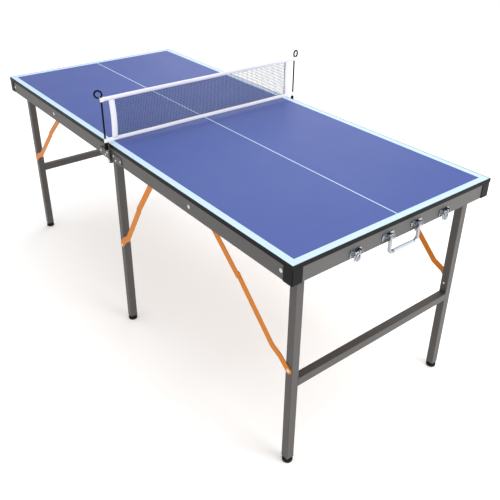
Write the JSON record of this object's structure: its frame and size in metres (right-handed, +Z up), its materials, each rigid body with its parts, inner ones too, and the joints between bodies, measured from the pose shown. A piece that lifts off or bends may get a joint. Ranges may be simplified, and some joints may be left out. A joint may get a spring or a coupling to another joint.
{
  "type": "folding table tennis table",
  "caption": "Folding table tennis table: two framed half tops hinged on a centre stand, folding end legs with flat braces, a lift-off net on side posts, a carrying handle and two latches",
  "frame": {"origin": "on the floor under the middle of the hinge line between the two half tops", "axes": "+X along the table towards the end with the carrying handle, +Y across the table, +Z up"},
  "size_m": [1.5417, 0.7179, 0.7661],
  "materials": {
    "board": "satin painted fibreboard, blue",
    "edge_band": "black plastic edging",
    "corner_caps": "black moulded plastic",
    "rails": "satin extruded rail, grey",
    "legs": "grey satin powder coat",
    "feet": "black moulded foot",
    "braces": "orange powder coat on flat steel",
    "fasteners": "zinc plated steel",
    "brackets": "zinc plated pressed steel",
    "sockets": "black moulded plastic",
    "net_wire": "black coated wire",
    "net_mesh": "dark blue knotted net",
    "net_tape": "white woven tape",
    "chrome_fittings": "bright chrome plate",
    "grip": "off-white plastic sleeve"
  },
  "bodies": {
    "centre_stand": {"centre_leg_near": "legs", "centre_leg_far": "legs", "centre_feet": "feet", "centre_brace_rivets": "fasteners", "hinge_rod": "fasteners", "socket_straps": "brackets", "net_sockets": "sockets"},
    "half_a": {"board_a": "board", "edge_band_a": "edge_band", "side_rail_near_a": "rails", "side_rail_far_a": "rails", "end_rail_a": "rails", "inner_rail_a": "rails", "corner_caps_a": "corner_caps", "leg_brackets_a": "brackets", "leg_bolts_a": "fasteners", "brace_bolts_a": "fasteners", "hinge_leaves_a": "brackets", "centre_brace_pins": "fasteners", "handle_mounts": "chrome_fittings", "latch_bases": "chrome_fittings"},
    "half_b": {"board_b": "board", "edge_band_b": "edge_band", "side_rail_near_b": "rails", "side_rail_far_b": "rails", "end_rail_b": "rails", "inner_rail_b": "rails", "corner_caps_b": "corner_caps", "leg_brackets_b": "brackets", "leg_bolts_b": "fasteners", "brace_bolts_b": "fasteners", "hinge_leaves_b": "brackets", "latch_keepers": "chrome_fittings"},
    "end_legs_a": {"end_leg_near_a": "legs", "end_leg_far_a": "legs", "crossbar_a": "legs", "end_feet_a": "feet", "brace_rivets_a": "fasteners"},
    "end_legs_b": {"end_leg_near_b": "legs", "end_leg_far_b": "legs", "crossbar_b": "legs", "end_feet_b": "feet", "brace_rivets_b": "fasteners"},
    "upper_braces_a": {"upper_braces_a": "braces"},
    "upper_braces_b": {"upper_braces_b": "braces"},
    "lower_braces_a": {"lower_braces_a": "braces"},
    "lower_braces_b": {"lower_braces_b": "braces"},
    "centre_upper_braces": {"centre_upper_braces": "braces"},
    "centre_lower_braces": {"centre_lower_braces": "braces"},
    "handle": {"handle_bail": "chrome_fittings", "handle_grip": "grip"},
    "latch_lever_near": {"latch_lever_near": "chrome_fittings"},
    "latch_lever_far": {"latch_lever_far": "chrome_fittings"},
    "net": {"net_post_near": "net_wire", "net_post_far": "net_wire", "net_mesh": "net_mesh", "net_top_tape": "net_tape", "net_bottom_tape": "net_tape", "net_side_tapes": "net_tape"}
  },
  "joints": [
    {"name": "half_a_fold", "type": "hinge", "parent": "centre_stand", "child": "half_a", "pos_m": [0, 0, 0.5615], "axis": [0, 1, 0], "range_deg": [0, 90]},
    {"name": "end_legs_a_fold", "type": "hinge", "parent": "half_a", "child": "end_legs_a", "pos_m": [0.725, 0, 0.5815], "axis": [0, 1, 0], "range_deg": [0, 90]},
    {"name": "upper_braces_a_turn", "type": "hinge", "parent": "half_a", "child": "upper_braces_a", "pos_m": [0.39, 0, 0.5815], "axis": [0, 1, 0], "range_deg": [0, 139.7]},
    {"name": "lower_braces_a_turn", "type": "hinge", "parent": "end_legs_a", "child": "lower_braces_a", "pos_m": [0.725, 0, 0.2965], "axis": [0, -1, 0], "range_deg": [0, 130.5]},
    {"name": "half_b_fold", "type": "hinge", "parent": "centre_stand", "child": "half_b", "pos_m": [0, 0, 0.5615], "axis": [0, -1, 0], "range_deg": [0, 90]},
    {"name": "end_legs_b_fold", "type": "hinge", "parent": "half_b", "child": "end_legs_b", "pos_m": [-0.725, 0, 0.5815], "axis": [0, -1, 0], "range_deg": [0, 90]},
    {"name": "upper_braces_b_turn", "type": "hinge", "parent": "half_b", "child": "upper_braces_b", "pos_m": [-0.39, 0, 0.5815], "axis": [0, -1, 0], "range_deg": [0, 139.7]},
    {"name": "lower_braces_b_turn", "type": "hinge", "parent": "end_legs_b", "child": "lower_braces_b", "pos_m": [-0.725, 0, 0.2965], "axis": [0, 1, 0], "range_deg": [0, 130.5]},
    {"name": "centre_upper_braces_turn", "type": "hinge", "parent": "half_a", "child": "centre_upper_braces", "pos_m": [0.21577, 0, 0.5755], "axis": [0, 1, 0], "range_deg": [0, 53.8]},
    {"name": "centre_lower_braces_turn", "type": "hinge", "parent": "centre_stand", "child": "centre_lower_braces", "pos_m": [0, 0, 0.2815], "axis": [0, -1, 0], "range_deg": [0, 32.6]},
    {"name": "handle_swing", "type": "hinge", "parent": "half_a", "child": "handle", "pos_m": [0.7695, 0, 0.579], "axis": [0, -1, 0], "range_deg": [-10, 90]},
    {"name": "latch_near_open", "type": "hinge", "parent": "half_a", "child": "latch_lever_near", "pos_m": [0.7675, -0.15, 0.578], "axis": [0, -1, 0], "range_deg": [0, 110]},
    {"name": "latch_far_open", "type": "hinge", "parent": "half_a", "child": "latch_lever_far", "pos_m": [0.7675, 0.15, 0.578], "axis": [0, -1, 0], "range_deg": [0, 110]},
    {"name": "net_lift", "type": "slide", "parent": "centre_stand", "child": "net", "axis": [0, 0, 1], "range_m": [0, 0.06]}
  ],
  "couplings": [
    {"joint": "end_legs_a_fold", "follows": "half_a_fold", "ratio": 1},
    {"joint": "upper_braces_a_turn", "follows": "half_a_fold", "ratio": 1.5512},
    {"joint": "lower_braces_a_turn", "follows": "half_a_fold", "ratio": 1.4488},
    {"joint": "end_legs_b_fold", "follows": "half_b_fold", "ratio": 1},
    {"joint": "upper_braces_b_turn", "follows": "half_b_fold", "ratio": 1.5512},
    {"joint": "lower_braces_b_turn", "follows": "half_b_fold", "ratio": 1.4488},
    {"joint": "centre_upper_braces_turn", "follows": "half_a_fold", "ratio": 0.59694},
    {"joint": "centre_lower_braces_turn", "follows": "half_a_fold", "ratio": 0.36152}
  ]
}
